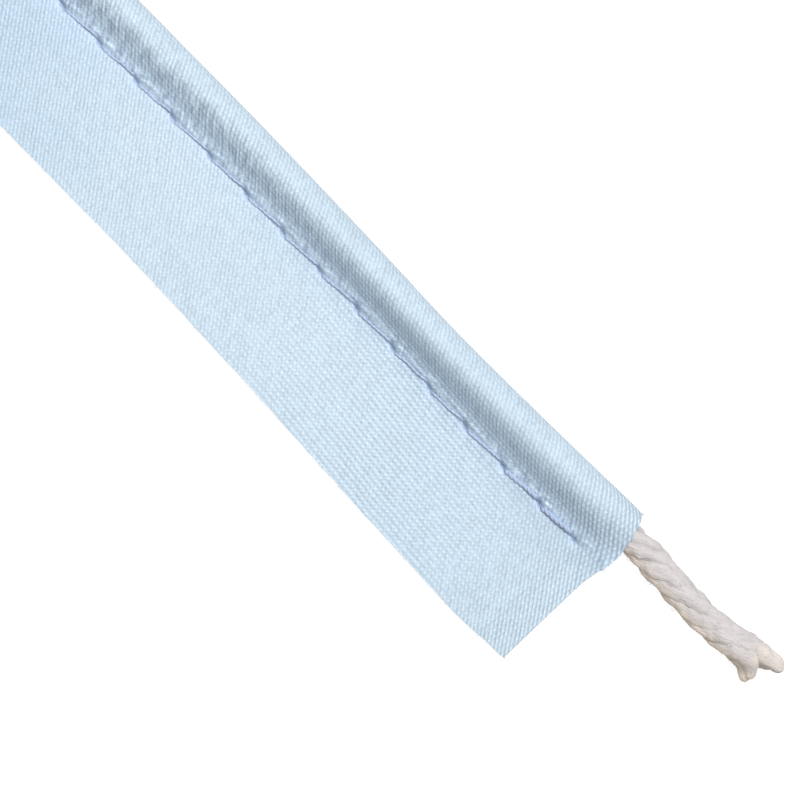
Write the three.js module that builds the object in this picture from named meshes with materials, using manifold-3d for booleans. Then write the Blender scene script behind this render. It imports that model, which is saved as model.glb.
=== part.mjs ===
// A length of satin piping trim, in millimetres, lying flat on the surface z = 0.
//
// One strip of satin is folded in half round a twisted cotton cord, and both layers are sewn
// together beside the cord. They go on as a flat flange, which is caught in a seam when the trim
// is used. At one end the strip is cut across and the cord comes out of it and ends in two tufts.
//
// While the pieces are made, x runs along the trim with the cut at x = 0 and the free cord at
// x > 0. y points from the raw edges to the folded edge, with the sewing line close to y = 0.
// The whole trim is then set with its origin at the middle of its own base.

import * as THREE from 'three';
import Module from 'manifold-3d';
import { mergeVertices } from 'three/addons/utils/BufferGeometryUtils.js';

const wasm = await Module();
wasm.setup();

// Driving dimensions
const stripLength = 110;
const layerThickness = 0.5;
const layerGap = 0.3;
const clearance = 0.3;
const cordRadiusInRoll = 1.05;
const cordRadiusFree = 1.27;
const strandCount = 5;
const layLength = 12.4;
const grooveDepth = 0.2; // as a share of the cord's radius
const crestFullness = 0.7; // 1 is a plain sine wave, and less is rounder

// Sizes that follow from them
const channelRadius = cordRadiusInRoll + clearance;
const rollRadius = channelRadius + layerThickness;

// The plan of the strip, as drawn from the plain end to the cut: where its folded edge, its sewing
// line and its raw edges lie. The roll loosens and the flange spreads towards the cut.
const plan = [
  { x: -110, fold: 6.08, seam: 1.55, raw: -8.68 },
  { x: -96, fold: 5.56, seam: 1.08, raw: -9.16 },
  { x: -82, fold: 5.24, seam: 0.74, raw: -9.34 },
  { x: -67, fold: 4.94, seam: 0.44, raw: -9.62 },
  { x: -52, fold: 4.80, seam: 0.28, raw: -9.68 },
  { x: -43, fold: 4.76, seam: 0.33, raw: -9.74 },
  { x: -34, fold: 4.63, seam: 0.10, raw: -10.05 },
  { x: -28, fold: 4.50, seam: 0.12, raw: -10.25 },
  { x: -22, fold: 4.36, seam: -0.18, raw: -10.52 },
  { x: -16, fold: 4.36, seam: -0.38, raw: -10.78 },
  { x: -9.5, fold: 4.46, seam: -0.34, raw: -11.00 },
  { x: -5, fold: 4.52, seam: -0.42, raw: -11.12 },
  { x: -2, fold: 4.66, seam: -0.58, raw: -10.96 },
  { x: 0, fold: 4.62, seam: -0.64, raw: -10.86 },
];

// The section that the plan stretches: its roll and flange as wide as at their narrowest.
const rollWidth = 4.38;
const flangeWidth = 10;
const rollCentre = rollWidth - rollRadius;
const rollTurnEnd = THREE.MathUtils.degToRad(148);
const slopeHold = 0.8; // how far the slope keeps the roll's direction
const seamHold = 0.5; // how far it has levelled out before the sewing line

// How far the cut end reaches past x = 0 at each place across the strip.
const cutReach = [
  { y: -11, reach: -0.20 },
  { y: -5, reach: -0.10 },
  { y: -2, reach: 0.02 },
  { y: 0.2, reach: 0.45 },
  { y: 1.3, reach: 0.42 },
  { y: 3.8, reach: -0.15 },
  { y: 4.8, reach: -0.55 },
];
const cutReachFades = 2.5;
const underLayerShorter = 0.15;

// The middle line of the free cord, from the last of its run in the roll to its tufts.
const tail = [
  { x: -2, y: 2.52, radius: cordRadiusInRoll },
  { x: 0.6, y: 2.70, radius: cordRadiusInRoll },
  { x: 2.2, y: 2.74, radius: 1.26 },
  { x: 4.5, y: 2.59, radius: cordRadiusFree },
  { x: 6.4, y: 2.51, radius: 1.22 },
  { x: 8.2, y: 2.47, radius: cordRadiusFree },
  { x: 9.7, y: 2.57, radius: 1.28 },
  { x: 11.1, y: 2.68, radius: 1.30 },
  { x: 12.1, y: 2.84, radius: 1.42 },
  { x: 13.4, y: 2.95, radius: 1.50 },
  { x: 14.3, y: 2.95, radius: 1.30 },
];
const tailRestsFrom = 6;

// The two tufts in which the cord ends, each from inside the cord to its tip.
const tufts = [
  {
    root: { x: 13.2, y: 2.5, z: 1.25, radius: 1.1 },
    bend: { x: 14.1, y: 2.2, z: 1.2 },
    tip: { x: 14.65, y: 1.15, z: 0.75, radius: 0.6 },
  },
  {
    root: { x: 13.4, y: 3.4, z: 1.3, radius: 1.1 },
    bend: { x: 14.8, y: 4.0, z: 1.3 },
    tip: { x: 16.05, y: 3.95, z: 0.95, radius: 0.5 },
  },
];
const tipRounding = 0.55;

// Steps of the curved work
const stripSteps = 44;
const cutEndCrowding = 1.35;
const pointsPerStrand = 4;
const stepsPerTurnInRoll = 12;
const stepsPerTurnInTail = 22;
const tuftSides = 10;
const tuftSteps = 7;

// Reads a table whose rows rise in their first column, as a smooth curve through its rows.
function smoothTable(rows) {
  const [key, ...columns] = Object.keys(rows[0]);
  const stations = rows.map((row) => row[key]);
  const values = rows.flatMap((row) => columns.map((column) => row[column]));
  const curve = new THREE.CubicInterpolant(stations, values, columns.length);
  return (at) => {
    const inside = THREE.MathUtils.clamp(at, stations[0], stations[stations.length - 1]);
    const found = curve.evaluate(inside);
    return Object.fromEntries(columns.map((column, i) => [column, found[i]]));
  };
}

const planAt = smoothTable(plan);
const cutReachAt = smoothTable(cutReach);
const tailAt = smoothTable(tail);

// Moves every point of a geometry by a function that changes the point it is given.
function reshape(geometry, move) {
  const places = geometry.attributes.position;
  const point = new THREE.Vector3();
  for (let i = 0; i < places.count; i++) {
    move(point.fromBufferAttribute(places, i));
    places.setXYZ(i, point.x, point.y, point.z);
  }
  geometry.computeVertexNormals();
  return geometry;
}

// The folded satin seen on its cut edge, with y across and z up: the under layer, the turn round
// the cord, the slope down to the sewing and the upper layer, then back along the inner face.
function stripSection() {
  const upper = layerThickness + layerGap;
  const flangeTop = upper + layerThickness;
  const turnPoint = (radius) => ({
    y: rollCentre + radius * Math.cos(rollTurnEnd),
    z: rollRadius + radius * Math.sin(rollTurnEnd),
  });
  const outer = turnPoint(rollRadius);
  const inner = turnPoint(channelRadius);
  const alongY = -Math.sin(rollTurnEnd) * slopeHold;
  const alongZ = Math.cos(rollTurnEnd) * slopeHold;

  const shape = new THREE.Shape();
  shape.moveTo(-flangeWidth, 0);
  shape.lineTo(-flangeWidth / 2, 0);
  shape.lineTo(0, 0);
  shape.lineTo(rollCentre, 0);
  shape.absarc(rollCentre, rollRadius, rollRadius, -Math.PI / 2, rollTurnEnd, false);
  shape.bezierCurveTo(
    outer.y + alongY, outer.z + alongZ,
    seamHold, flangeTop,
    0, flangeTop,
  );
  shape.lineTo(-flangeWidth / 2, flangeTop);
  shape.lineTo(-flangeWidth, flangeTop);
  shape.lineTo(-flangeWidth, upper);
  shape.lineTo(-flangeWidth / 2, upper);
  shape.lineTo(0, upper);
  shape.bezierCurveTo(
    seamHold, upper,
    inner.y + alongY, inner.z + alongZ,
    inner.y, inner.z,
  );
  shape.absarc(rollCentre, rollRadius, channelRadius, rollTurnEnd, -Math.PI / 2, true);
  shape.lineTo(0, layerThickness);
  shape.lineTo(-flangeWidth / 2, layerThickness);
  shape.lineTo(-flangeWidth, layerThickness);
  return shape;
}

// Sets a point of the straight strip to the plan, then lets the cut end reach out unevenly.
function setStripPoint(point) {
  const [across, height] = [point.x, point.y];
  const share = 1 - point.z / stripSteps;
  const x = -stripLength * share ** cutEndCrowding;
  const { fold, seam, raw } = planAt(x);
  const y = across > 0
    ? seam + across * (fold - seam) / rollWidth
    : seam + across * (seam - raw) / flangeWidth;
  const under = height <= layerThickness && across < rollCentre ? underLayerShorter : 0;
  const reach = (cutReachAt(y).reach - under) * Math.exp(x / cutReachFades);
  point.set(x + reach, y, height);
}

function makeStrip() {
  const straight = new THREE.ExtrudeGeometry(stripSection(), {
    depth: stripSteps, steps: stripSteps, curveSegments: 7, bevelEnabled: false,
  });
  const satin = new THREE.MeshStandardMaterial({ color: 0xc9dff0, roughness: 0.42, metalness: 0 });
  const strip = new THREE.Mesh(reshape(straight, setStripPoint), satin);
  strip.name = 'satin_strip';
  return strip;
}

// The cord's twisted section: a crest for each strand and a groove between every two.
function strandSection() {
  const points = [];
  const count = strandCount * pointsPerStrand;
  for (let i = 0; i < count; i++) {
    const turn = (2 * Math.PI * i) / count;
    const crest = Math.abs(Math.sin((strandCount * turn) / 2)) ** crestFullness;
    const radius = 1 - grooveDepth * (1 - crest);
    points.push(new THREE.Vector2(radius * Math.cos(turn), radius * Math.sin(turn)));
  }
  return new THREE.Shape(points);
}

// The cord's middle line and radius. It lies in the middle of the roll, then comes out of the cut,
// swells as the satin lets go of it, and sinks to the surface.
function cordAt(x) {
  const { fold, seam } = planAt(x);
  const middleOfRoll = seam + rollCentre * (fold - seam) / rollWidth;
  if (x < tail[0].x) return { y: middleOfRoll, z: rollRadius, radius: cordRadiusInRoll };
  const { y, radius } = tailAt(x);
  const fallen = THREE.MathUtils.smoothstep(x, 0, tailRestsFrom);
  const joined = THREE.MathUtils.smoothstep(x, tail[0].x, 0);
  return {
    y: THREE.MathUtils.lerp(middleOfRoll, y, joined),
    z: THREE.MathUtils.lerp(rollRadius, radius, fallen),
    radius,
  };
}

function makeCordBody() {
  const tailEnd = tail[tail.length - 1].x;
  const stepsInRoll = Math.round((stepsPerTurnInRoll * stripLength) / layLength);
  const stepsInTail = Math.round((stepsPerTurnInTail * tailEnd) / layLength);
  const steps = stepsInRoll + stepsInTail;
  const straight = new THREE.ExtrudeGeometry(strandSection(), {
    depth: steps, steps, bevelEnabled: false,
  });
  return reshape(straight, (point) => {
    const x = point.z <= stepsInRoll
      ? stripLength * (point.z / stepsInRoll - 1)
      : tailEnd * (point.z - stepsInRoll) / stepsInTail;
    const { y, z, radius } = cordAt(x);
    const turn = Math.atan2(point.y, point.x) - (2 * Math.PI * x) / layLength;
    const reach = Math.hypot(point.x, point.y) * radius;
    point.set(x, y + reach * Math.cos(turn), z + reach * Math.sin(turn));
  });
}

// One tuft: a bent, tapering lock of the cord's fibres with a rounded tip.
function makeTuft({ root, bend, tip }) {
  const line = new THREE.QuadraticBezierCurve3(
    new THREE.Vector3(root.x, root.y, root.z),
    new THREE.Vector3(bend.x, bend.y, bend.z),
    new THREE.Vector3(tip.x, tip.y, tip.z),
  );
  const ring = new THREE.Shape().absarc(0, 0, 1, 0, 2 * Math.PI, false);
  const straight = new THREE.ExtrudeGeometry(ring, {
    depth: tuftSteps, steps: tuftSteps, curveSegments: tuftSides / 2, bevelEnabled: false,
  });
  const up = new THREE.Vector3(0, 0, 1);
  return reshape(straight, (point) => {
    const share = point.z / tuftSteps;
    const narrowing = share < 1 ? 1 : tipRounding;
    const radius = THREE.MathUtils.lerp(root.radius, tip.radius, share) * narrowing;
    const ahead = line.getTangent(share);
    const side = new THREE.Vector3().crossVectors(up, ahead).normalize();
    const over = new THREE.Vector3().crossVectors(ahead, side);
    const [across, above] = [point.x * radius, point.y * radius];
    point.copy(line.getPoint(share)).addScaledVector(side, across).addScaledVector(over, above);
  });
}

// A closed geometry as a solid that can be joined to another, and back again.
function toSolid(geometry) {
  geometry.deleteAttribute('normal');
  geometry.deleteAttribute('uv');
  const merged = mergeVertices(geometry, 1e-5);
  return new wasm.Manifold(new wasm.Mesh({
    numProp: 3,
    vertProperties: Float32Array.from(merged.attributes.position.array),
    triVerts: Uint32Array.from(merged.index.array),
  }));
}

function fromSolid(solid) {
  const { vertProperties, triVerts } = solid.getMesh();
  const geometry = new THREE.BufferGeometry();
  geometry.setAttribute('position', new THREE.BufferAttribute(vertProperties, 3));
  geometry.setIndex(new THREE.BufferAttribute(triVerts, 1));
  geometry.computeVertexNormals();
  return geometry;
}

function makeCord() {
  const body = toSolid(makeCordBody());
  const joined = tufts.reduce((solid, tuft) => solid.add(toSolid(makeTuft(tuft))), body);
  const cotton = new THREE.MeshStandardMaterial({ color: 0xe4dcd6, roughness: 0.95, metalness: 0 });
  const cord = new THREE.Mesh(fromSolid(joined), cotton);
  cord.name = 'core_cord';
  return cord;
}

const trim = new THREE.Group();
trim.add(makeStrip(), makeCord());

// The origin is brought to the middle of the base of the whole trim.
const box = new THREE.Box3().setFromObject(trim, true);
const middle = box.getCenter(new THREE.Vector3());
trim.position.set(-middle.x, -middle.y, -box.min.z);

export default trim;
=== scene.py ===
"""A cut length of satin piping trim: a folded satin strip sewn round a twisted cotton cord.

Sizes in the tables and functions are in millimetres, in the trim's own layout: x runs along the
trim with the cut end at 0 and the free cord beyond it, y points from the raw edges to the folded
edge with the sewing line close to 0, and z is the height above the surface. place() turns such a
point into the frame's metres.
"""

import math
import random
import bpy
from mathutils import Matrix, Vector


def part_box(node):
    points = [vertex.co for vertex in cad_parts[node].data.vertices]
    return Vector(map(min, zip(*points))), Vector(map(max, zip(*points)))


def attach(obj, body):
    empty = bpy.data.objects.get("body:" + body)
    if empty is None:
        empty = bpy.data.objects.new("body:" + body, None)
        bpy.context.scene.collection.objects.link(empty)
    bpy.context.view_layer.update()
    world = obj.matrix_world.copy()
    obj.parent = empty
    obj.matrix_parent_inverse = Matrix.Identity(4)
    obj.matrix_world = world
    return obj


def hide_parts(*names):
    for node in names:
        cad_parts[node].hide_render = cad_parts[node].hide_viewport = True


bl_info = {
    "name": "Satin piping trim",
    "version": (1, 0, 0),
    "blender": (4, 5, 0),
    "location": "3D View > Sidebar > Piping",
    "description": "Makes a cut length of satin piping with its cord, stitches and stage",
    "category": "Add Mesh",
}

from types import SimpleNamespace

import bmesh
import bpy
from bpy.props import FloatProperty, FloatVectorProperty, IntProperty, PointerProperty
from mathutils import Vector, noise

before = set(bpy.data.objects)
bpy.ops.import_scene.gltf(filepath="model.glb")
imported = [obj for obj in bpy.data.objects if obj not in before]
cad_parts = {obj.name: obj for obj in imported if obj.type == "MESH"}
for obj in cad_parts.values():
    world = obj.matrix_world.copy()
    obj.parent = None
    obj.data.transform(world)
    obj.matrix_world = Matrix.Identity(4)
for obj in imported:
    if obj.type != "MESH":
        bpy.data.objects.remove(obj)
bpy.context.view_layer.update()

MM = 0.001
STRIP_LENGTH = 110.0
FOLD_AT_PLAIN_END = 6.08

strip_low, strip_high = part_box("satin_strip")
CUT_X = strip_low[0] + STRIP_LENGTH * MM
LAYOUT_Y = strip_high[1] - FOLD_AT_PLAIN_END * MM


def place(x, y, z):
    """A point of the layout, in millimetres, as the frame's point in metres."""
    return Vector((CUT_X + x * MM, LAYOUT_Y + y * MM, z * MM))


def layout_of(point):
    """The layout's x and y, in millimetres, of a point of the frame."""
    return (point.x - CUT_X) / MM, (point.y - LAYOUT_Y) / MM


def mix(low, high, share):
    """The number that lies at a share of the way from low to high."""
    return low + (high - low) * share


def ease(low, high, value):
    """0 at low and 1 at high, with a smooth change between and no more past them."""
    share = min(max((value - low) / (high - low), 0.0), 1.0)
    return share * share * (3 - 2 * share)


def hump(value, width):
    """1 at 0, and smoothly down to nothing about two widths away."""
    return math.exp(-((value / width) ** 2))


def smooth_table(columns, rows):
    """A function that reads rows, which rise in their first column, as smooth curves."""
    names = columns.split()[1:]
    stations = [row[0] for row in rows]
    last = len(rows) - 1

    def slope(i, column):
        before, after = max(i - 1, 0), min(i + 1, last)
        return (rows[after][column] - rows[before][column]) / (stations[after] - stations[before])

    slopes = [[slope(i, column) for column in range(1, len(names) + 1)] for i in range(last + 1)]

    def read(at):
        at = min(max(at, stations[0]), stations[-1])
        i = max(j for j in range(last) if stations[j] <= at)
        span = stations[i + 1] - stations[i]
        t = (at - stations[i]) / span
        found = {}
        for n, name in enumerate(names):
            start, end = rows[i][n + 1], rows[i + 1][n + 1]
            leaving, arriving = slopes[i][n] * span, slopes[i + 1][n] * span
            found[name] = (
                start * (2 * t**3 - 3 * t**2 + 1)
                + leaving * (t**3 - 2 * t**2 + t)
                + end * (3 * t**2 - 2 * t**3)
                + arriving * (t**3 - t**2)
            )
        return SimpleNamespace(**found)

    return read


# The strip from above, how far the roll's ridge lies from the fold, how high the roll and the
# flange are, how much higher than the flange the satin is held at the stitches, and over what
# distance that fades.
PLAN = smooth_table("x fold seam raw ridge high flange lift fade", [
    (-110, 6.08, 1.60, -8.68, 1.44, 2.96, 0.88, 0.20, 0.50),
    (-96, 5.56, 1.12, -9.16, 1.44, 2.96, 0.90, 0.20, 0.50),
    (-82, 5.28, 0.78, -9.40, 1.45, 2.98, 1.06, 0.12, 0.40),
    (-67, 5.02, 0.48, -9.74, 1.49, 3.00, 1.18, 0.09, 0.35),
    (-52, 4.94, 0.36, -9.80, 1.53, 3.02, 1.17, 0.09, 0.35),
    (-43, 4.90, 0.33, -9.80, 1.59, 3.16, 1.11, 0.12, 0.35),
    (-34, 4.73, 0.15, -10.05, 1.67, 3.42, 0.98, 0.22, 0.35),
    (-28, 4.58, 0.12, -10.25, 1.73, 3.54, 0.90, 0.28, 0.40),
    (-22, 4.38, -0.08, -10.52, 1.76, 3.60, 0.87, 0.30, 0.42),
    (-16, 4.38, -0.30, -10.78, 1.80, 3.62, 0.86, 0.32, 0.50),
    (-9.5, 4.49, -0.40, -11.00, 1.84, 3.63, 0.86, 0.38, 0.75),
    (-5, 4.60, -0.45, -11.12, 1.86, 3.63, 0.86, 0.44, 0.95),
    (-2, 4.70, -0.50, -10.96, 1.84, 3.38, 1.02, 0.52, 1.30),
    (0, 4.72, -0.52, -10.86, 1.80, 2.92, 1.34, 0.46, 1.60),
])

# How the satin falls from the ridge to the stitches: the share of the way across, and the share
# of the whole fall.
ROLL_FALL = smooth_table("way fall", [
    (0.0, 0.0),
    (0.08, 0.008),
    (0.17, 0.040),
    (0.27, 0.115),
    (0.37, 0.235),
    (0.46, 0.375),
    (0.54, 0.515),
    (0.63, 0.668),
    (0.72, 0.790),
    (0.81, 0.878),
    (0.90, 0.938),
    (1.0, 1.0),
])

# Where the mouth of the roll begins, and the share of the way over which it bends down there.
MOUTH_FROM = -3.6
MOUTH_BEND = 0.3


def fall_share(x, way):
    """The share of the fall, which is more even at the mouth, where no stitch holds the satin."""
    even = way**2 / (2 * MOUTH_BEND) if way < MOUTH_BEND else way - MOUTH_BEND / 2
    return mix(ROLL_FALL(way).fall, even / (1 - MOUTH_BEND / 2), ease(MOUTH_FROM, 0, x))


# How far the cut end reaches past x = 0 across the strip, over what length that fades, and how
# ragged the cut is.
CUT_REACH = smooth_table("y reach", [
    (-11, -0.20),
    (-5, -0.10),
    (-2, 0.02),
    (0.2, 0.45),
    (1.3, 0.42),
    (3.8, -0.15),
    (4.8, -0.55),
])
CUT_REACH_FADES = 2.5
CUT_RAGGED = 0.035

# How far the under layer stays back at the cut end and at the raw edge.
UNDER_LAYER_SHORTER = 0.15
UNDER_LAYER_NARROWER = 0.30

# How far the under thread lifts the satin off the surface.
UNDER_LIFT = 0.30

# Needle holes, from the last one before the cut to the plain end, the slant on which the thread
# draws them out, and their size.
STITCH_LENGTH = 4.2
HOLES = [-2.95, -6.72] + [-10.86 - STITCH_LENGTH * i for i in range(24)]
HOLE_SLANT = (0.927, -0.375)
HOLE_LONG, HOLE_WIDE, HOLE_DEEP = 0.46, 0.13, 0.38

# What else the stitches press into the satin round their line, and the roll that comes loose past
# the last one.
FURROW_DEEP, DIMPLE_DEEP, LOOSENED_HIGH = 0.09, 0.07, 0.20
SQUEEZED_AT_HOLE = 0.6

# The middle line and the radius of the free cord, from the last of its run in the roll.
TAIL = smooth_table("x y radius", [
    (-2, 2.52, 1.12),
    (0.6, 2.70, 1.18),
    (2.2, 2.72, 1.30),
    (4.5, 2.57, 1.30),
    (6.4, 2.49, 1.26),
    (8.2, 2.45, 1.30),
    (9.7, 2.55, 1.32),
    (11.1, 2.66, 1.34),
    (12.1, 2.84, 1.42),
    (13.4, 2.95, 1.48),
    (14.3, 2.95, 1.30),
])
TAIL_START, TAIL_END = -2.0, 14.0
CORD_RESTS_FROM = 6.0

# The cord's radius in the roll, and how far inside the fold its middle is at least.
CORD_IN_ROLL = 1.10
CORD_INSIDE_FOLD = 1.52

# How the strands are wound, how the yarns show on each, how far their lumps reach and how near
# they come to the surface, and how finely they are made.
LAY_LENGTH = 12.4
STRANDS = 5
YARNS_IN_STRAND, YARN_LAY = 5, 4.6
LUMP_REACH, CLEARANCE = 1.16, 0.02
STRAND_SIDES = 26
STRAND_STEP_IN_ROLL, STRAND_STEP_IN_TAIL = 0.55, 0.13
STEPS_IN_ROLL, STEPS_IN_TAIL, STEPS_IN_TUFT = 195, 160, 24

# Where each strand goes in the two tufts at the cord's end: two points of a curve, and the radius
# of its tip.
STRAND_ENDS = [
    ((14.4, 4.15, 0.95), (15.60, 4.20, 0.75), 0.50),
    ((14.5, 3.75, 1.55), (15.80, 3.90, 0.95), 0.50),
    ((13.7, 2.35, 1.45), (14.40, 1.65, 0.80), 0.54),
    ((13.5, 1.85, 0.75), (14.40, 1.25, 0.55), 0.46),
    ((14.0, 3.15, 0.60), (15.15, 3.75, 0.52), 0.48),
]
STRANDS_PART_AT = 12.7
TIP_ROUNDS_FROM = 0.80

# How far off the cord's middle, in radii, its creases and the tops of its strands are, and where
# along it the creases end and the tufts begin. They shape the painted shade in the creases and the
# painted bounce light in the tufts.
CREASE_OFF, TOP_OFF = 0.84, 0.98
CREASES_END, CREASE_SHADE_IN_TUFTS = 12.5, 0.15
TUFTS_BEGIN, TUFTS_WHOLE = 12.6, 13.6

# The sewing thread: the twist of its two plies, how finely it is made, how far it lies off the
# sewing line at the start and at the end of each stitch, how far it bows up, and its two ends.
THREAD_LAY = 0.95
THREAD_SIDES = 8
UPPER_STEPS, UNDER_STEPS = 56, 28
UPPER_DRIFT, UNDER_DRIFT = (-0.19, 0.21), (0.06, -0.06)
STITCH_BOW, LAST_STITCH_BOW = 0.03, 0.15
THREAD_STARTS = -STRIP_LENGTH + 0.03
THREAD_ENDS_AT_HEIGHT = 0.50
LOWEST_UNDER_THREAD = 0.19

# Loose fibres of the cord: their form, where along the cord they are, and the seed of their
# random places.
FIBRE_RADIUS, FIBRE_SEED, FIBRE_LENGTHS = 0.014, 41, (0.25, 0.75)
FIBRES_FROM, FIBRES_TO = 0.6, 13.6
FIBRE_TAPER = (1.0, 1.0, 0.9, 0.7, 0.3)
FIBRE_SIDES = 3

# Yarn ends of the satin: their form, how deep in the cloth they begin, the share of them at the
# cut end, and at that end and the plain one together, and how far up the under layer reaches.
YARN_RADIUS, YARN_SEED, YARN_LENGTHS = 0.02, 7, (0.08, 0.24)
YARN_ROOT = 0.12
YARNS_AT_CUT, YARNS_AT_ENDS = 0.33, 0.55
HALF_SATIN, LOW_LAYER_TO = 0.15, 0.8


class TrimSizes(bpy.types.PropertyGroup):
    """Sizes of the trim that are likely to be changed."""

    satin_thickness: FloatProperty(
        name="Satin", description="Thickness of the satin", default=0.30 * MM, min=0.0001,
        max=0.0005, unit="LENGTH", subtype="DISTANCE", precision=5)
    thread_thickness: FloatProperty(
        name="Thread", description="Thickness of one ply of the sewing thread",
        default=0.130 * MM, min=0.00005, max=0.0003, unit="LENGTH", subtype="DISTANCE",
        precision=5)
    cord_thickness: FloatProperty(
        name="Cord", description="Thickness of the free cord", default=2.55 * MM, min=0.001,
        max=0.005, unit="LENGTH", subtype="DISTANCE", precision=5)
    camera_distance: FloatProperty(
        name="Camera distance", description="From the camera to the middle of the view",
        default=0.1744, min=0.05, max=1.0, unit="LENGTH", subtype="DISTANCE")
    loose_yarns: IntProperty(
        name="Loose yarns", description="How many yarn ends stick out of the cut edges",
        default=260, min=0, max=2000)
    fuzz: IntProperty(
        name="Fuzz", description="How many loose fibres the cotton cord has",
        default=170, min=0, max=2000)


class TrimColours(bpy.types.PropertyGroup):
    """Colours and light of the trim and its stage."""

    satin: FloatVectorProperty(
        name="Satin", description="Colour of the satin", subtype="COLOR",
        default=(0.535, 0.658, 0.763), min=0, max=1)
    thread: FloatVectorProperty(
        name="Thread", description="Colour of the sewing thread", subtype="COLOR",
        default=(0.505, 0.60, 0.80), min=0, max=1)
    cotton: FloatVectorProperty(
        name="Cotton", description="Colour of the cord's cotton", subtype="COLOR",
        default=(0.700, 0.658, 0.654), min=0, max=1)
    floor: FloatVectorProperty(
        name="Floor", description="Colour of the floor", subtype="COLOR",
        default=(0.5, 0.5, 0.5), min=0, max=1)
    floor_glow: FloatProperty(
        name="Floor glow", description="How strongly the white table is lit from below",
        default=0.86, min=0, max=5)
    key_light: FloatProperty(
        name="Key light", description="Power of the soft light on the folded edge's side",
        default=2.25, min=0, max=50, unit="POWER")
    sky_light: FloatProperty(
        name="Sky", description="Strength of the even light from all round",
        default=0.34, min=0, max=5)


class Link:
    """One socket's value in a material, for use in plain expressions."""

    def __init__(self, shader, socket):
        self.shader, self.socket = shader, socket

    def output(self, name):
        return Link(self.shader, self.socket.node.outputs[name])

    def math(self, operation, *others):
        numbers = dict(enumerate((self, *others)))
        return self.shader.node("ShaderNodeMath", {"operation": operation}, numbers)

    def __add__(self, other):
        return self.math("ADD", other)

    def __sub__(self, other):
        return self.math("SUBTRACT", other)

    def __rsub__(self, other):
        return (self * -1).math("ADD", other)

    def __mul__(self, other):
        return self.math("MULTIPLY", other)

    def __truediv__(self, other):
        return self.math("DIVIDE", other)

    __radd__ = __add__
    __rmul__ = __mul__

    def floor(self):
        return self.math("FLOOR")

    def clamped(self):
        return self.math("MAXIMUM", 0.0).math("MINIMUM", 1.0)


class Shader:
    """A material whose nodes come from one method."""

    def __init__(self, name):
        self.material = bpy.data.materials.new(name)
        self.material.use_nodes = True
        self.tree = self.material.node_tree
        self.tree.nodes.clear()

    def node(self, kind, settings=None, sockets=None, output=0):
        """Adds a node of a type, sets its settings, then gives its sockets values or links."""
        made = self.tree.nodes.new(kind)
        for name, value in (settings or {}).items():
            setattr(made, name, value)
        for key, value in (sockets or {}).items():
            if isinstance(value, Link):
                self.tree.links.new(value.socket, made.inputs[key])
            else:
                made.inputs[key].default_value = value
        return Link(self, made.outputs[output])

    def combine(self, x, y):
        return self.node("ShaderNodeCombineXYZ", sockets={"X": x, "Y": y})

    def separate(self, vector):
        return self.node("ShaderNodeSeparateXYZ", sockets={"Vector": vector})

    def noise(self, vector, scale, detail=2.0, roughness=0.5):
        return self.node("ShaderNodeTexNoise", {"noise_dimensions": "3D"}, {
            "Vector": vector, "Scale": scale, "Detail": detail, "Roughness": roughness})

    def attribute(self, name):
        return self.node("ShaderNodeAttribute", {"attribute_name": name}, output=2)

    def blend(self, share, first, second):
        """A mix of two colours."""
        return self.node("ShaderNodeMix", {"data_type": "RGBA"}, {
            0: share, 6: first, 7: second}, output=2)

    def finish(self, **surface):
        """The Principled surface, with its sockets named with _ for each space."""
        sockets = {name.replace("_", " "): value for name, value in surface.items()}
        skin = self.node("ShaderNodeBsdfPrincipled", sockets=sockets)
        end = self.tree.nodes.new("ShaderNodeOutputMaterial")
        self.tree.links.new(skin.socket, end.inputs["Surface"])
        return self.material


def shade(colour, amount):
    """A colour made darker or lighter, with full opacity."""
    return (*(min(channel * amount, 1.0) for channel in colour), 1.0)


def bell(value):
    """1 where the value is 0, and less on either side."""
    return (value * value * -1).math("EXPONENT")


def tinted(colour, tint):
    """A colour with each channel taken by its own share."""
    return [channel * share for channel, share in zip(colour, tint)]


def wave(turns):
    """A wave that repeats once a turn."""
    return (turns * (2 * math.pi)).math("COSINE")


# Painted shade: the dark colour that cloth and thread are given down in the needle holes, where
# shade falls.
HOLE_SHADE_BLUE = (0.21, 0.275, 0.46, 1.0)

# The satin is a little cooler far back on its flange. On the web below the roll, where the roll's
# shade falls, it is tinted lilac: a painted bluer shade.
COOL_TINT = (0.88, 0.93, 0.975)
SHADE_LILAC_TINT = (0.975, 1.0, 1.13)

# The weave as it lies on the cut strip: floats run 53 degrees to the strip's length.
FLOAT_DIRECTION = (0.602, -0.799)
COLUMN_PITCH = 0.306
FLOAT_PITCH = 0.571
COLUMN_SHIFT = 0.542
TWILL_MIDDLE = -18.5
TWILL_REACH = 10.5
ROLL_SHEAR = 0.26
DARK_FLOAT, BRIGHT_FLOAT = 0.70, 1.30


def satin_tones(shader, glow, colour):
    """The satin's colour, from its dark floats to its bright ones."""
    return shader.blend(glow, shade(colour, DARK_FLOAT), shade(colour, BRIGHT_FLOAT))


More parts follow.
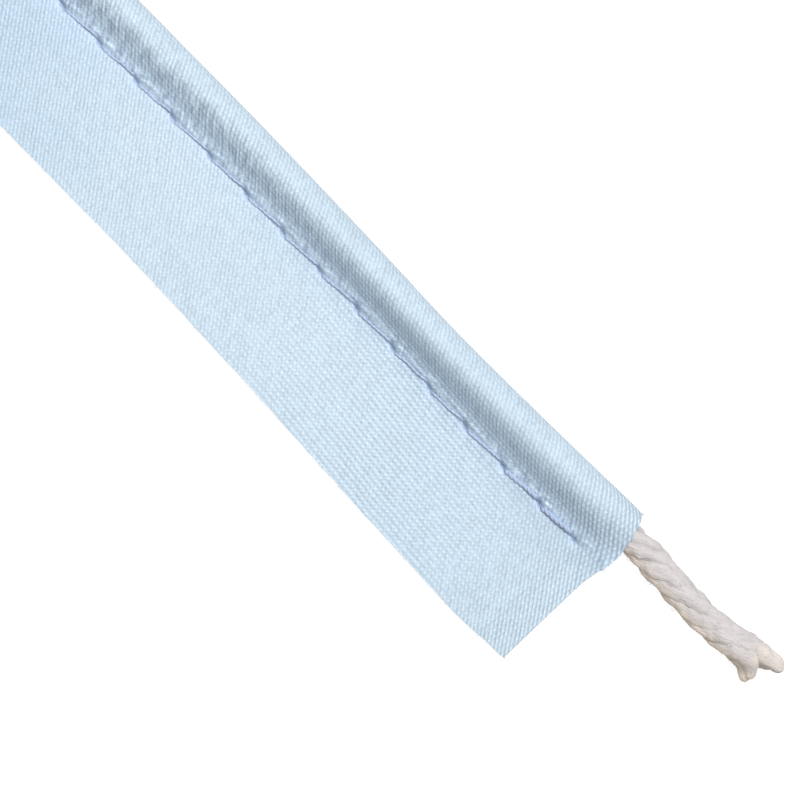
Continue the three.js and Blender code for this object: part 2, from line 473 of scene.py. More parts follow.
def satin_floats(shader, flat, along, across, on_flange):
    """The number of a float's column, its run along the column, its slant and the cloth's height.

    The height is made of four waves: the columns, and three slants across them. on_flange,
    near_cut and twill say where on the strip each wave is strong or faint.
    """
    drift = (shader.noise(flat, 0.16, 2.0) - 0.5) * 0.40
    shift = (shader.noise(flat, 0.30, 2.0) - 0.5) * 0.35
    column = (along * -FLOAT_DIRECTION[1] + across * FLOAT_DIRECTION[0]) / COLUMN_PITCH + drift
    run = along * FLOAT_DIRECTION[0] + across * FLOAT_DIRECTION[1]
    slant = run / FLOAT_PITCH + column * COLUMN_SHIFT + shift
    near_cut = ((along + 9) / 7).clamped()
    in_twill = bell((along - TWILL_MIDDLE) / TWILL_REACH)
    twill = in_twill * on_flange * (shader.noise(flat, 0.12) * 0.6 + 0.7)
    height = (
        wave(column) * (1.12 - (twill * 3).clamped() * 0.31 + near_cut * 0.75 - on_flange * 0.47)
        + wave(column - slant) * (0.45 + twill * 0.58 - on_flange * 0.22)
        + wave(column - slant * 2) * (twill * 0.26 + 0.15)
        + wave(slant) * (near_cut * 0.25 + 0.32))
    return column, run, slant, height


def satin_material(colours):
    """Rows of small floats. glow is how bright each one is, with painted glints on the roll's fall
    and by the stitches, and relief is how it stands out. The web below the roll gets a painted
    lilac shade, and the needle holes a painted dark shade.
    """
    shader = Shader("satin_weave")
    cut = shader.separate(shader.node("ShaderNodeUVMap", {"uv_map": "cut"}))
    along, across = cut.output("X"), cut.output("Y")
    flat = shader.combine(along, across)
    on_flange = (1 - across * 0.5).clamped()
    column, run, slant, height = satin_floats(shader, flat, along, across, on_flange)
    cell = shader.node("ShaderNodeTexWhiteNoise", {"noise_dimensions": "2D"}, {
        "Vector": shader.combine(column.floor(), slant.floor())})
    cloud = shader.noise(flat, 0.16, 3.0) - 0.5
    speck = shader.noise(flat, 5.5, 2.0, 0.6) - 0.5
    # Painted glints: bright and dark streaks, as of floats catching the light, on the roll's fall
    # and by the stitches.
    further_back = ((along * -1 - 30) / 16).clamped()
    on_fall = bell((across - 2.2) / 1.4) * (further_back * 0.7 + 0.3)
    glints_by_stitches = bell((across - 0.55) / 0.5) * 0.7
    painted_glints = shader.noise(shader.combine(column * 1.1, run * 0.6), 1.0, 2.0, 0.7) - 0.5
    fleck = shader.node("ShaderNodeTexWhiteNoise", {"noise_dimensions": "2D"}, {
        "Vector": shader.combine((column * 2).floor(), (run * 6.5).floor())}) - 0.5
    detail = height * 0.20 + (cell - 0.5) * 0.22 + speck * 0.9 + fleck * 0.24 + cloud * 0.14
    glow = (0.5 + (detail + (on_fall + glints_by_stitches) * (painted_glints * 4.2)) * 0.8).clamped()
    cool, shade_lilac = (tinted(colours.satin, tint) for tint in (COOL_TINT, SHADE_LILAC_TINT))
    cooler = ((along * -1 - 48) / 14 + cloud * 1.4).clamped() + bell((along + 13) / 9) * 0.25
    colour = shader.blend(
        (cooler * on_flange).clamped(),
        satin_tones(shader, glow, colours.satin), satin_tones(shader, glow, cool))
    # Painted shade: a lilac tint on the web below the roll.
    colour = shader.blend(
        bell((across - 0.9) / 1.7), colour, satin_tones(shader, glow, shade_lilac))
    # Painted shade down in the needle holes.
    painted_hole_shade = (shader.attribute("hole_shade") * 0.65).clamped()
    relief = height * 0.8 + (cell - 0.5) * 0.5 + speck
    bump = shader.node("ShaderNodeBump", sockets={
        "Strength": 1.0, "Distance": 0.02 * MM, "Height": relief})
    return shader.finish(
        Base_Color=shader.blend(painted_hole_shade, colour, HOLE_SHADE_BLUE), Roughness=0.40 + cell * 0.10,
        Normal=bump, Specular_IOR_Level=0.45, Sheen_Weight=0.1, Sheen_Roughness=0.35)


def thread_material(colours):
    """Fine fibres along each ply, with painted shade where the thread dives into a hole."""
    shader = Shader("sewing_thread")
    line = shader.separate(shader.node("ShaderNodeUVMap", {"uv_map": "run"}))
    fibres = shader.noise(
        shader.combine(line.output("X") * 3.5, line.output("Y") * 14.0), 1.0, 3.0, 0.6)
    ply = shader.blend(fibres, shade(colours.thread, 0.66), shade(colours.thread, 1.12))
    colour = shader.blend(shader.attribute("hole_shade") * 0.6, ply, HOLE_SHADE_BLUE)
    bump = shader.node("ShaderNodeBump", sockets={
        "Strength": 0.6, "Distance": 0.02 * MM, "Height": fibres})
    return shader.finish(
        Base_Color=colour, Roughness=0.45 + fibres * 0.2, Normal=bump, Sheen_Weight=0.1)


# Painted light on the cotton: a lighter cream, standing for light bounced from the table onto its
# lower side, its side away from the light and its tufts; a painted grey shade in its creases and
# pits; and a faint painted glow, stronger and warmer on the lower side.
BOUNCE_CREAM = (0.96, 0.86, 0.745, 1.0)
CREASE_SHADE_GREY = (0.40, 0.36, 0.35, 1.0)
PAINTED_GLOW_ABOVE = (0.022, 0.020, 0.021, 1.0)
PAINTED_GLOW_BELOW = (0.140, 0.102, 0.067, 1.0)


def cotton_material(colours):
    """Dull wool-like cotton: fibres along each strand and clumps, with painted grey shade in the
    creases and pits, and a painted cream bounce light and painted glow on the lower side.
    """
    shader = Shader("cotton_strands")
    line = shader.separate(shader.node("ShaderNodeUVMap", {"uv_map": "run"}))
    along, around = line.output("X"), line.output("Y")
    slanted = around + along * 0.30
    fibres = shader.noise(shader.combine(along * 0.9, slanted * 11.0), 1.0, 4.0, 0.65)
    clumps = shader.noise(shader.combine(along * 0.8, slanted * 1.7), 1.0, 2.0)
    pits = shader.noise(shader.combine(along * 0.9, slanted * 2.6), 1.3, 3.0, 0.7)
    wool = shader.noise(shader.combine(along * 5, slanted * 6), 1.0, 2.0, 0.6) - 0.5
    # Painted shade: grey in the creases between the strands and in small pits.
    crease_shade = shader.attribute("crease_shade") * (pits * 2.4 - 0.45).clamped()
    fleece = shader.blend(
        ((fibres - 0.5) * 1.3 + wool + clumps * 0.3 + 0.35).clamped(),
        shade(colours.cotton, 0.84), shade(colours.cotton, 1.12))
    # Painted bounce light: a lighter cream and a stronger glow on the lower side, the side away
    # from the light and the tufts.
    painted_bounce = shader.attribute("painted_bounce")
    dents = ((pits - 0.57) * 3.5).clamped()
    colour = shader.blend(
        (crease_shade * 0.6 + dents * 0.3).clamped(), shader.blend(painted_bounce, fleece, BOUNCE_CREAM), CREASE_SHADE_GREY)
    relief = fibres * 0.8 + wool * 0.8 + clumps * 0.6 - dents * 0.5
    bump = shader.node("ShaderNodeBump", sockets={
        "Strength": 1.0, "Distance": 0.12 * MM, "Height": relief})
    # The emission is a painted glow, not a lamp.
    return shader.finish(
        Base_Color=colour, Roughness=0.92, Normal=bump, Specular_IOR_Level=0.2,
        Sheen_Weight=0.35, Sheen_Roughness=0.6,
        Emission_Color=shader.blend(painted_bounce, PAINTED_GLOW_ABOVE, PAINTED_GLOW_BELOW), Emission_Strength=1.0)


def glowing_material(name, colour, glow):
    """A white table that is lit from below, which leaves only a faint shadow on it."""
    shader = Shader(name)
    return shader.finish(
        Base_Color=shade(colour, 1.0), Roughness=0.9, Specular_IOR_Level=0.0,
        Emission_Color=(1.0, 1.0, 1.0, 1.0), Emission_Strength=glow)


def new_shape(uv_map):
    """An empty mesh in the making, and its UV layer."""
    shape = bmesh.new()
    return shape, shape.loops.layers.uv.new(uv_map)


def add_piece(name, shape, material):
    """Makes an object of a finished shape, which is then freed."""
    for face in shape.faces:
        face.smooth = True
    mesh = bpy.data.meshes.new(name)
    shape.to_mesh(mesh)
    shape.free()
    mesh.materials.append(material)
    piece = bpy.data.objects.new(name, mesh)
    bpy.context.scene.collection.objects.link(piece)
    return piece


def add_patch(shape, layer, rows):
    """A grid whose points are given row by row, each as a place and its two UV numbers."""
    wide, deep = len(rows[0]) - 1, len(rows) - 1
    made = bmesh.ops.create_grid(shape, x_segments=wide, y_segments=deep, size=1)["verts"]
    found = {}
    for vert in made:
        column = round((vert.co.x + 1) / 2 * wide)
        row = round((vert.co.y + 1) / 2 * deep)
        vert.co, found[vert] = rows[row][column]
    for face in {face for vert in made for face in vert.link_faces}:
        for loop in face.loops:
            loop[layer].uv = found[loop.vert]
    return made


def add_tube(shape, layer, rings):
    """A closed tube through rings of points, whose last point in each ring meets its first."""
    made = add_patch(shape, layer, rings)
    bmesh.ops.remove_doubles(shape, verts=made, dist=1e-9)
    edges = (edge for vert in made if vert.is_valid for edge in vert.link_edges)
    rims = dict.fromkeys(edge for edge in edges if edge.is_boundary)
    bmesh.ops.holes_fill(shape, edges=list(rims), sides=0)


def tube_rings(points, radii, sides, shape_of=None):
    """Rings round a line of points in millimetres. shape_of(step, turn) may vary the radius."""
    up = Vector((0, 0, 1))
    rings, run = [], 0.0
    for step, (centre, radius) in enumerate(zip(points, radii)):
        ahead = points[min(step + 1, len(points) - 1)] - points[max(step - 1, 0)]
        ahead.normalize()
        side = up.cross(ahead)
        side = side.normalized() if side.length > 0.05 else Vector((0, 1, 0))
        over = ahead.cross(side)
        if step:
            run += (centre - points[step - 1]).length
        ring = []
        for i in range(sides + 1):
            turn = 2 * math.pi * (i % sides) / sides
            reach = radius * (shape_of(step, turn) if shape_of else 1.0)
            at = centre + side * (reach * math.cos(turn)) + over * (reach * math.sin(turn))
            ring.append((place(*at), (run, 2 * math.pi * radius * i / sides)))
        rings.append(ring)
    return rings


def cord_at(x):
    """The cord's middle and radius at x: in the roll, out of the cut, then down on the surface."""
    plan = PLAN(min(x, 0))
    in_roll = Vector((x, plan.fold - max(CORD_INSIDE_FOLD, plan.ridge), plan.high / 2))
    if x < TAIL_START:
        return in_roll, CORD_IN_ROLL
    tail = TAIL(x)
    fallen = ease(0, CORD_RESTS_FROM, x)
    joined = ease(TAIL_START, 0, x)
    middle = Vector((x, mix(in_roll.y, tail.y, joined), mix(in_roll.z, tail.radius, fallen)))
    return middle, tail.radius


def strand_line(number):
    """One strand's points and radii. It winds round the cord's middle, then ends in its tuft."""
    in_roll = [-STRIP_LENGTH + STRAND_STEP_IN_ROLL * i for i in range(STEPS_IN_ROLL)]
    in_tail = [in_roll[-1] + STRAND_STEP_IN_TAIL * (i + 1) for i in range(STEPS_IN_TAIL)]
    seed = 17.3 * number
    points, radii = [], []
    for x in in_roll + in_tail:
        if x > STRANDS_PART_AT:
            break
        middle, radius = cord_at(x)
        lump = noise.noise(Vector((x * 1.05, seed, 0.0)))
        sway = noise.noise(Vector((x * 0.40, seed, 9.0)))
        turn = 2 * math.pi * (number / STRANDS - x / LAY_LENGTH) + 0.8 * sway
        reach = radius * (0.40 + 0.06 * lump)
        points.append(middle + Vector((0, math.cos(turn), math.sin(turn))) * reach)
        radii.append(radius * (0.600 - 0.02 * lump))
    start, begin_radius = points[-1], radii[-1]
    first = start + (points[-1] - points[-4]).normalized() * 0.5
    bend, tip, tip_radius = STRAND_ENDS[number]
    bend, tip = Vector(bend), Vector(tip)
    for i in range(1, STEPS_IN_TUFT + 1):
        t = i / STEPS_IN_TUFT
        at = (
            start * (1 - t) ** 3 + first * 3 * t * (1 - t) ** 2
            + bend * 3 * t**2 * (1 - t) + tip * t**3
        )
        in_tip = max(t - TIP_ROUNDS_FROM, 0) / (1 - TIP_ROUNDS_FROM)
        rounding = math.sqrt(max(1 - in_tip**2, 0.03))
        points.append(at)
        radii.append(mix(begin_radius, tip_radius, ease(0.1, 0.9, t)) * rounding)
    for at, radius in zip(points, radii):
        at.z = max(at.z, radius * LUMP_REACH + CLEARANCE)
    return points, radii


# The cord's route from the plain end to the tips of its tufts.
ROUTE_STATIONS = (-110, -95, -80, -65, -50, -38, -28, -19, -12, -7, -3, 0, 2, 4, 6, 8, 10, 11.5, 13)
ROUTE_IN_TUFTS = ((14.2, 3.5, 1.3), (15.2, 3.95, 1.15), (16.2, 3.95, 0.95))

# What the camera looks at, and its place round it and above it, in degrees.
CAMERA_AIM = (-20.14, -2.51, 0.8)
CAMERA_ROUND, CAMERA_ABOVE = 45.5, 86.0


class PIPING_OT_camera(bpy.types.Operator):
    """Set up the camera that looks down on the trim's cut end"""

    bl_idname = "piping.camera"
    bl_label = "Camera"

    def execute(self, context):
        sizes = context.scene.trim_sizes
        aim = place(*CAMERA_AIM)
        round_about, above = math.radians(CAMERA_ROUND), math.radians(CAMERA_ABOVE)
        back = Vector((
            math.sin(round_about) * math.cos(above),
            -math.cos(round_about) * math.cos(above),
            math.sin(above)))
        lens = bpy.data.cameras.new("camera")
        lens.lens, lens.sensor_width = 100.0, 36.0
        lens.clip_start, lens.clip_end = 0.01, 10.0
        camera = bpy.data.objects.new("camera", lens)
        camera.location = aim + back * sizes.camera_distance
        camera.rotation_mode = "QUATERNION"
        camera.rotation_quaternion = (-back).to_track_quat("-Z", "Y")
        context.scene.collection.objects.link(camera)
        context.scene.camera = camera
        context.scene.view_settings.view_transform = "Standard"
        return {"FINISHED"}


class PIPING_OT_cord(bpy.types.Operator):
    """Make the twisted cotton cord with its free end, two tufts and loose fibres"""

    bl_idname = "piping.cord"
    bl_label = "Cotton cord"

    def execute(self, context):
        sizes, colours = context.scene.trim_sizes, context.scene.trim_colours
        cotton = cotton_material(colours)
        shape, layer = new_shape("run")
        for number in range(STRANDS):
            points, radii = strand_line(number)

            def yarns(step, turn, points=points, number=number):
                x = points[step].x
                ply = math.cos(YARNS_IN_STRAND * turn + 2 * math.pi * x / YARN_LAY + number)
                around = Vector((0, math.cos(turn), math.sin(turn) + number))
                lump = noise.noise(Vector((x * 1.5, 0, 0)) + around * 1.3)
                knob = noise.noise(Vector((x * 3.6, 0, 7)) + around * 2.6)
                return 1 + 0.02 * ply + 0.12 * lump + 0.06 * knob

            add_tube(shape, layer, tube_rings(points, radii, STRAND_SIDES, yarns))
        bmesh.ops.recalc_face_normals(shape, faces=shape.faces)
        self.mark_shade_and_bounce(shape)
        cord = add_piece("twisted_core_cord", shape, cotton)
        fuzz = self.make_fuzz(sizes, cotton)
        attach(cord, "root")
        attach(fuzz, "root")
        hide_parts("core_cord")
        route = [cord_at(x)[0] for x in ROUTE_STATIONS] + [Vector(at) for at in ROUTE_IN_TUFTS]
        tuple(place(*cord_at(0)[0]))
        [tuple(place(*point)) for point in route]
        return {"FINISHED"}

    def mark_shade_and_bounce(self, shape):
        """Stores how deep each point lies between the strands, for the painted crease shade, and
        which are on the under side, away from the light or in the tufts, for the painted bounce
        light and glow.
        """
        crease_shade = shape.verts.layers.float.new("crease_shade")
        painted_bounce = shape.verts.layers.float.new("painted_bounce")
        for vert in shape.verts:
            x, y = layout_of(vert.co)
            middle, radius = cord_at(min(x, TAIL_END))
            off = (vert.co - place(x, middle.y, middle.z)).length / MM / radius
            in_crease = 1 - ease(CREASE_OFF, TOP_OFF, off)
            vert[crease_shade] = in_crease if x < CREASES_END else CREASE_SHADE_IN_TUFTS
            in_tufts = ease(TUFTS_BEGIN, TUFTS_WHOLE, x)
            vert[painted_bounce] = max(
                0.4 * in_tufts, ease(0.2, 1.2, (middle.y - y) / radius),
                ease(mix(0.9, 1.4, in_tufts), mix(0.2, 0.3, in_tufts), vert.co.z / MM))

    def make_fuzz(self, sizes, material):
        """Short loose fibres, which stand out from the free part of the cord."""
        draw = random.Random(FIBRE_SEED)
        shape, layer = new_shape("run")
        for _ in range(sizes.fuzz):
            x = draw.uniform(FIBRES_FROM, FIBRES_TO)
            middle, radius = cord_at(x)
            turn = draw.uniform(0, 2 * math.pi)
            out = Vector((0, math.cos(turn), math.sin(turn)))
            start = middle + out * radius * 0.9
            lean = Vector((draw.uniform(-1, 1), draw.uniform(-0.5, 0.5), draw.uniform(-0.5, 0.5)))
            length = draw.uniform(*FIBRE_LENGTHS)
            bend = start + (out * 0.5 + lean * 0.4) * length
            tip = bend + (out * 0.15 + lean * 0.8) * length
            add_fibre(shape, layer, start, bend, tip, FIBRE_RADIUS)
        bmesh.ops.recalc_face_normals(shape, faces=shape.faces)
        return add_piece("cord_fuzz", shape, material)


def add_fibre(shape, layer, start, bend, tip, radius):
    """One thin bent fibre, kept above the surface that the trim lies on."""
    points = []
    for i in range(len(FIBRE_TAPER)):
        t = i / (len(FIBRE_TAPER) - 1)
        at = start * (1 - t) ** 2 + bend * 2 * t * (1 - t) + tip * t**2
        at.z = max(at.z, radius)
        points.append(at)
    radii = [radius * share for share in FIBRE_TAPER]
    add_tube(shape, layer, tube_rings(points, radii, FIBRE_SIDES))


def nearest_hole(x):
    """How far x is past its nearest needle hole."""
    return min((x - hole for hole in HOLES), key=abs)


def seam_grip(x):
    """How firmly the seam holds: it lets go past the last stitch."""
    return 1 - ease(HOLES[0] + 0.1, HOLES[0] + 1.4, x)


def hole_mark(past, off_seam):
    """1 in the middle of a needle hole, which is drawn out on a slant by its thread."""
    along = past * HOLE_SLANT[0] + off_seam * HOLE_SLANT[1]
    across = off_seam * HOLE_SLANT[0] - past * HOLE_SLANT[1]
    return hump(along, HOLE_LONG) * hump(across, HOLE_WIDE)


def upper_press(x, off_seam):
    """How the stitches change the upper face's height at a distance from the sewing line."""
    past = nearest_hole(x)
    furrow = FURROW_DEEP * hump(off_seam + 0.02, 0.20) * seam_grip(x)
    hole = HOLE_DEEP * hole_mark(past, off_seam)
    dimple = DIMPLE_DEEP * hump(past, 0.8) * hump(off_seam - 0.10, 0.6)
    loosened = LOOSENED_HIGH * ease(HOLES[0] + 0.4, 0.6, x) * hump(off_seam - 0.3, 0.9)
    raised = loosened + puckers(past, off_seam) + wrinkles(x, off_seam)
    return raised - furrow - hole - dimple


def puckers(past, off_seam):
    """Small folds on the roll's side of each needle hole, which slant away from the stitches."""
    near = 0.09 * hump(past - 0.62, 0.55) * hump(off_seam - 0.26 - 0.16 * past, 0.10)
    far = 0.05 * hump(past - 0.2, 0.7) * hump(off_seam - 0.62 - 0.25 * past, 0.12)
    back = 0.05 * hump(past + 0.7, 0.5) * hump(off_seam - 0.42, 0.11)
    return near + far + back


def wrinkles(x, off_seam):
    """Fine uneven wrinkles between the stitches and the roll, and more of them further back."""
    by_seam = noise.noise(Vector((x * 1.5 - off_seam * 0.8, off_seam * 3.0, 6.0)))
    on_fall = noise.noise(Vector((x * 1.2 + off_seam * 0.5, off_seam * 1.8, 2.0)))
    return (
        0.10 * by_seam * hump(off_seam - 0.5, 0.38) * seam_grip(x)
        + 0.06 * on_fall * hump(off_seam - 1.5, 0.9) * ease(-30, -46, x))


def flange_sway(x, y):
    """The slow rise and fall of the flange's upper layer."""
    return 0.07 * noise.noise(Vector((x * 0.07, y * 0.16, 3.0)))


def under_press(x, off_seam):
    """How the stitches lift the under face off the surface."""
    past = nearest_hole(x)
    lift = UNDER_LIFT * hump(off_seam, 0.55) * mix(0.6, 1.0, seam_grip(x))
    hole = 0.05 * hump(past, 0.4) * hump(off_seam, 0.18)
    return lift + hole


def crowded(count, power):
    """Shares up to 1, which crowd together near 0 where power is over 1."""
    return [(i / count) ** power for i in range(1, count + 1)]


# How the section's points are spread over its parts: closer together at the stitches and edges.
FLANGE_SHARES = [0.0, 0.003, 0.009] + [1 - share for share in reversed(crowded(17, 2.2)[:-1])]
FALL_SHARES = [1.0] + [1 - share for share in crowded(25, 1.25)]
ARC_STEPS = 20
UNDER_ROLL_SHARES = crowded(6, 0.75)
UNDER_FLANGE_SHARES = crowded(11, 1.8)[:-1] + [0.991, 0.997, 1.0]


def section_at(x):
    """The satin's outer face at x, from its upper raw edge to its under one.

    Each point is (y, z, press): its height is z without the stitches, and z + press with them.
    """
    plan = PLAN(x)
    ridge = plan.fold - plan.ridge
    half_high = plan.high / 2
    raw_upper = plan.raw + 0.04 * noise.noise(Vector((x * 0.8, 0, 0)))
    raw_under = plan.raw + UNDER_LAYER_NARROWER + 0.05 * noise.noise(Vector((x * 0.6, 5, 0)))
    points = []
    for share in FLANGE_SHARES:
        y = mix(raw_upper, plan.seam, share)
        off = y - plan.seam
        sway = flange_sway(x, y) * ease(0, 3, -off)
        lift = plan.lift * math.exp(off / plan.fade)
        points.append((y, plan.flange + sway + lift, upper_press(x, off)))
    for share in FALL_SHARES:
        y = mix(ridge, plan.seam, share)
        fall = (plan.high - plan.flange - plan.lift) * fall_share(x, share)
        points.append((y, plan.high - fall, upper_press(x, y - plan.seam)))
    for i in range(1, ARC_STEPS + 1):
        turn = math.pi * (0.5 - i / ARC_STEPS)
        points.append((ridge + plan.ridge * math.cos(turn), half_high * (1 + math.sin(turn)), 0.0))
    for share in UNDER_ROLL_SHARES:
        y = mix(ridge, plan.seam, share)
        points.append((y, 0.0, under_press(x, y - plan.seam)))
    for share in UNDER_FLANGE_SHARES:
        y = mix(plan.seam, raw_under, share)
        points.append((y, 0.0, under_press(x, y - plan.seam)))
    return points


# The section's last point on the upper flange, and its first point in the under layer.
LAST_FLANGE_COLUMN = len(FLANGE_SHARES) - 1
UNDER_FROM_COLUMN = len(FLANGE_SHARES) + len(FALL_SHARES) + ARC_STEPS // 2

# Where the satin's sections are: round each needle hole, and close together at both ends.
HOLE_STATIONS = (
    -1.4, -1.0, -0.75, -0.55, -0.4, -0.27, -0.13, 0, 0.13, 0.27, 0.4, 0.55, 0.75, 1.0, 1.4, 1.75,
    2.1, 2.45)
END_STATIONS = (
    -0.9, -0.6, -0.35, -0.15, -0.07, -0.03, 0.03 - STRIP_LENGTH, 0.07 - STRIP_LENGTH)
CLOSEST_STATIONS = 0.025


def satin_stations():
    """The places of the sections along the strip, without those too close to the one before."""
    found = [hole + offset for hole in HOLES for offset in HOLE_STATIONS]
    stations = [-STRIP_LENGTH]
    for x in sorted([*found, *END_STATIONS]) + [0.0]:
        if x - stations[-1] > CLOSEST_STATIONS:
            stations.append(x)
    return stations


class PIPING_OT_satin(bpy.types.Operator):
    """Make the folded satin strip, which is pressed down along its row of stitches"""

    bl_idname = "piping.satin"
    bl_label = "Satin strip"

    def execute(self, context):
        sizes, colours = context.scene.trim_sizes, context.scene.trim_colours
        rows = [self.row_at(x) for x in satin_stations()]
        shape, layer = new_shape("cut")
        add_patch(shape, layer, rows)
        bmesh.ops.recalc_face_normals(shape, faces=shape.faces)
        highest = max(shape.faces, key=lambda face: face.calc_center_median().z)
        if highest.normal.z < 0:
            bmesh.ops.reverse_faces(shape, faces=shape.faces)
        satin = add_piece("folded_satin_strip", shape, satin_material(colours))
        self.thicken(satin, sizes.satin_thickness)
        self.mark_holes(satin)
        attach(satin, "root")
        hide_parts("satin_strip")
        return {"FINISHED"}

    def row_at(self, x):
        """The section at x as places in the frame, each with its place on the flat strip."""
        points = section_at(x)
        runs = [0.0]
        for (y0, z0, _), (y1, z1, _) in zip(points, points[1:]):
            runs.append(runs[-1] + math.hypot(y1 - y0, z1 - z0))
        start, seam = runs[LAST_FLANGE_COLUMN], PLAN(x).seam
        row = []
        for column, ((y, z, press), run) in enumerate(zip(points, runs)):
            under = column >= UNDER_FROM_COLUMN
            reach = CUT_REACH(y).reach - (UNDER_LAYER_SHORTER if under else 0)
            ragged = CUT_RAGGED * noise.noise(Vector((y * 2.2, run * 0.8, 1.0)))
            moved = (reach + ragged) * math.exp(x / CUT_REACH_FADES)
            sheared = x - ROLL_SHEAR * max(y - seam, 0)
            row.append((place(x + moved, y, z + press), (sheared, run - start)))
        return row

    def thicken(self, satin, thickness):
        """Gives the sheet its thickness, which the stitches squeeze at the needle holes."""
        group = satin.vertex_groups.new(name="thickness")
        for vert in satin.data.vertices:
            x, y = layout_of(vert.co)
            squeeze = hump(nearest_hole(x), 0.4) * hump(y - PLAN(x).seam, 0.3)
            group.add([vert.index], 1 - SQUEEZED_AT_HOLE * squeeze, "REPLACE")
        wall = satin.modifiers.new("thickness", "SOLIDIFY")
        wall.thickness, wall.offset = thickness, -1.0
        wall.use_even_offset = wall.use_rim = True
        wall.vertex_group = group.name

    def mark_holes(self, satin):
        """Stores how deep in a needle hole each point of the upper face is, for the painted shade
        there.
        """
        hole_shade = satin.data.attributes.new("hole_shade", "FLOAT", "POINT")
        for vert in satin.data.vertices:
            x, y = layout_of(vert.co)
            if vert.co.z > UNDER_LIFT * 1.2 * MM:
                hole_shade.data[vert.index].value = hole_mark(nearest_hole(x), y - PLAN(x).seam)


def along_stitches(steps):
    """Along every stitch: x, the share of the stitch, and how far the nearer of its holes is."""
    ends = sorted(HOLES)
    starts = [ends[0] - STITCH_LENGTH] + ends[:-1]
    for start, end in zip(starts, ends):
        for i in range(steps):
            x = mix(start, end, i / steps)
            if x >= THREAD_STARTS:
                yield x, i / steps, min(x - start, end - x)


class PIPING_OT_stitches(bpy.types.Operator):
    """Sew the row of lockstitches: one thread on the upper face and one on the under face"""

    bl_idname = "piping.stitches"
    bl_label = "Stitches"

    def execute(self, context):
        sizes, colours = context.scene.trim_sizes, context.scene.trim_colours
        thread = thread_material(colours)
        radius = sizes.thread_thickness / MM / 2
        lines = {"upper_thread": self.upper_line(), "under_thread": self.under_line()}
        for name, line in lines.items():
            shape, layer = new_shape("run")
            fuller = [
                1 + ease(HOLES[3], HOLES[1], at.x) + 0.3 * noise.noise(at * 0.9) for at in line]
            radii = [radius * share for share in fuller]
            for ply in (0, 1):
                points = self.twisted(line, ply, [0.62 * reach for reach in radii])
                add_tube(shape, layer, tube_rings(points, radii, THREAD_SIDES))
            bmesh.ops.recalc_face_normals(shape, faces=shape.faces)
            # Painted shade on the thread near each needle hole.
            hole_shade = shape.verts.layers.float.new("hole_shade")
            for vert in shape.verts:
                past = nearest_hole(layout_of(vert.co)[0])
                vert[hole_shade] = ease(0.62, 0.28, abs(past))
            piece = add_piece(name, shape, thread)
            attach(piece, "root")
        return {"FINISHED"}

    def upper_line(self):
        """The needle thread's middle line, from the plain end to the last hole."""
        line = []
        for x, share, to_hole in along_stitches(UPPER_STEPS):
            sway = 0.10 * noise.noise(Vector((x * 0.8, 4.0, 0.0)))
            off = (mix(*UPPER_DRIFT, share) + sway) * ease(0, 0.45, to_hole)
            plan = PLAN(x)
            surface = plan.flange + plan.lift + 0.4 * off + upper_press(x, off)
            widest_bow = LAST_STITCH_BOW if x >= HOLES[1] else STITCH_BOW
            bow = widest_bow * math.sin(math.pi * share)
            dive = 0.20 * hump(to_hole, 0.30)
            line.append(Vector((x, plan.seam + off, surface + 0.04 + bow - dive)))
        line.append(Vector((HOLES[0], PLAN(HOLES[0]).seam, THREAD_ENDS_AT_HEIGHT)))
        return line

    def under_line(self):
        """The bobbin thread's middle line on the under face."""
        line = []
        for x, share, to_hole in along_stitches(UNDER_STEPS):
            off = mix(*UNDER_DRIFT, share)
            height = under_press(x, off) - 0.08 + 0.25 * hump(to_hole, 0.3)
            line.append(Vector((x, PLAN(x).seam + off, max(height, LOWEST_UNDER_THREAD))))
        line.append(Vector((HOLES[0], PLAN(HOLES[0]).seam, THREAD_ENDS_AT_HEIGHT)))
        return line

    def twisted(self, line, ply, reaches):
        """One ply wound round the thread's middle line, at the given distances from it."""
        points, run = [], 0.0
        for i, at in enumerate(line):
            if i:
                run += (at - line[i - 1]).length
            turn = math.pi * ply + 2 * math.pi * run / THREAD_LAY
            points.append(at + Vector((0, math.cos(turn), math.sin(turn))) * reaches[i])
        return points


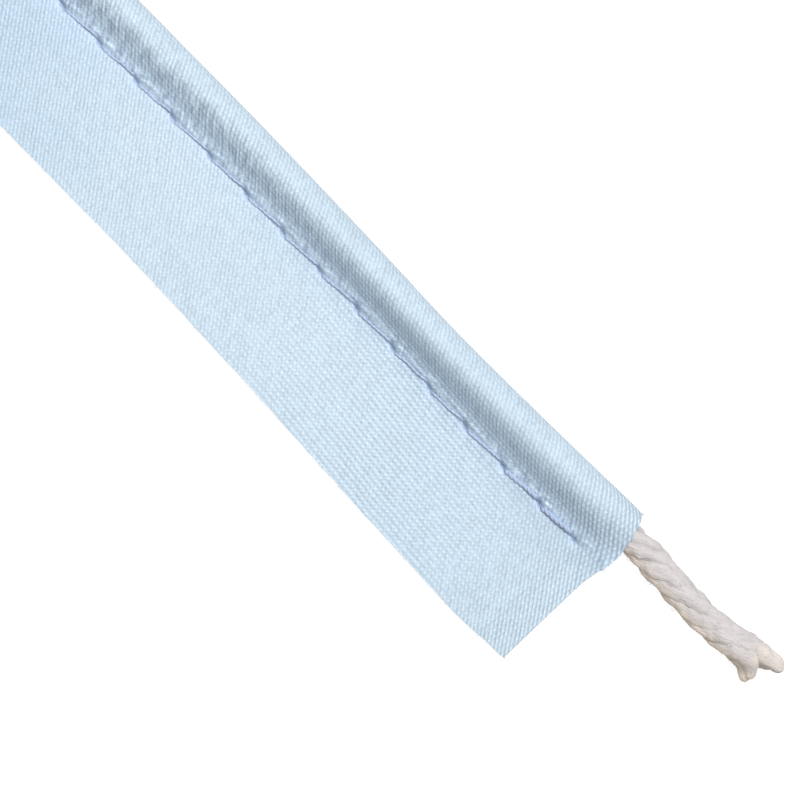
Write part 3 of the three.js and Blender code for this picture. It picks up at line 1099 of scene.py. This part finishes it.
class PIPING_OT_loose_yarns(bpy.types.Operator):
    """Pull short yarn ends out of the strip's cut edges"""

    bl_idname = "piping.loose_yarns"
    bl_label = "Loose yarns"

    def execute(self, context):
        sizes, colours = context.scene.trim_sizes, context.scene.trim_colours
        draw = random.Random(YARN_SEED)
        shape, layer = new_shape("cut")
        for _ in range(sizes.loose_yarns):
            start, out = self.edge_point(draw)
            length = draw.uniform(*YARN_LENGTHS) * (1.6 if draw.random() < 0.08 else 1.0)
            lean = Vector((draw.uniform(-1, 1), draw.uniform(-1, 1), draw.uniform(-0.3, 0.5)))
            bend = start + (out * 0.6 + lean * 0.15) * length
            tip = bend + (out * 0.4 + lean * 0.5) * length
            add_fibre(shape, layer, start - out * YARN_ROOT, bend, tip, YARN_RADIUS)
        bmesh.ops.recalc_face_normals(shape, faces=shape.faces)
        yarns = add_piece("loose_yarn_ends", shape, satin_material(colours))
        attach(yarns, "root")
        return {"FINISHED"}

    def edge_point(self, draw):
        """A place on a cut edge, and the way out of the cloth there."""
        kind = draw.random()
        if kind < YARNS_AT_ENDS:
            at_cut = kind < YARNS_AT_CUT
            x = 0.0 if at_cut else -STRIP_LENGTH
            points = section_at(x)
            column = draw.randrange(len(points))
            y, z, press = points[column]
            z += press
            reach = CUT_REACH(y).reach if at_cut else 0.0
            if at_cut and column >= UNDER_FROM_COLUMN:
                reach -= UNDER_LAYER_SHORTER
            inwards = HALF_SATIN if z < LOW_LAYER_TO else -HALF_SATIN
            return Vector((x + reach, y, z + inwards)), Vector((1 if at_cut else -1, 0, 0))
        x = draw.uniform(-STRIP_LENGTH, -0.3)
        upper = draw.random() < 0.5
        points = section_at(x)
        y, z, _ = points[0] if upper else points[-1]
        inwards = -HALF_SATIN if upper else HALF_SATIN
        return Vector((x, y, z + inwards)), Vector((0, -1, 0))


# The floor's size and how far it lies below the trim, and the key light's place off the point
# that it is aimed at, in metres.
FLOOR_SIZE, FLOOR_DROP = 1.5, 0.00001
LIGHT_AIM = (-25, 0, 0)
LIGHT_OFF, LIGHT_SIZE = (-0.03, 0.185, 0.46), 0.24


class PIPING_OT_stage(bpy.types.Operator):
    """Lay the pale floor and set up the soft lights"""

    bl_idname = "piping.stage"
    bl_label = "Stage"

    def execute(self, context):
        colours = context.scene.trim_colours
        shape = bmesh.new()
        bmesh.ops.create_grid(shape, x_segments=2, y_segments=2, size=FLOOR_SIZE)
        bmesh.ops.translate(shape, verts=shape.verts, vec=(0, 0, -FLOOR_DROP))
        table = glowing_material("floor", colours.floor, colours.floor_glow)
        floor = add_piece("floor", shape, table)
        floor.visible_diffuse = False
        self.add_key_light(colours.key_light)
        world = bpy.data.worlds.new("studio")
        world.use_nodes = True
        sky = world.node_tree.nodes["Background"].inputs
        sky["Color"].default_value = (1.0, 1.0, 1.0, 1.0)
        sky["Strength"].default_value = colours.sky_light
        context.scene.world = world
        return {"FINISHED"}

    def add_key_light(self, power):
        """A round soft light, which is aimed at the middle of the seen part of the trim."""
        lamp = bpy.data.lights.new("key_light", "AREA")
        lamp.shape, lamp.size, lamp.energy = "DISK", LIGHT_SIZE, power
        light = bpy.data.objects.new("key_light", lamp)
        light.location = place(*LIGHT_AIM) + Vector(LIGHT_OFF)
        light.rotation_euler = (-Vector(LIGHT_OFF)).to_track_quat("-Z", "Y").to_euler()
        bpy.context.scene.collection.objects.link(light)


STEPS = (
    PIPING_OT_camera,
    PIPING_OT_cord,
    PIPING_OT_satin,
    PIPING_OT_stitches,
    PIPING_OT_loose_yarns,
    PIPING_OT_stage,
)


class PIPING_PT_panel(bpy.types.Panel):
    """Lists the trim's pieces, sizes and colours"""

    bl_label = "Satin piping"
    bl_idname = "PIPING_PT_panel"
    bl_space_type = "VIEW_3D"
    bl_region_type = "UI"
    bl_category = "Piping"

    def draw(self, context):
        layout = self.layout
        for group in (context.scene.trim_sizes, context.scene.trim_colours):
            column = layout.column(align=True)
            for name in group.__annotations__:
                column.prop(group, name)
        for step in STEPS:
            layout.operator(step.bl_idname)


CLASSES = (TrimSizes, TrimColours, *STEPS, PIPING_PT_panel)


def register():
    for made in CLASSES:
        bpy.utils.register_class(made)
    bpy.types.Scene.trim_sizes = PointerProperty(type=TrimSizes)
    bpy.types.Scene.trim_colours = PointerProperty(type=TrimColours)


def unregister():
    del bpy.types.Scene.trim_colours
    del bpy.types.Scene.trim_sizes
    for made in reversed(CLASSES):
        bpy.utils.unregister_class(made)


def main():
    """Makes every piece in order."""
    register()
    for step in STEPS:
        group, name = step.bl_idname.split(".")
        getattr(getattr(bpy.ops, group), name)()


if __name__ == "__main__":
    main()
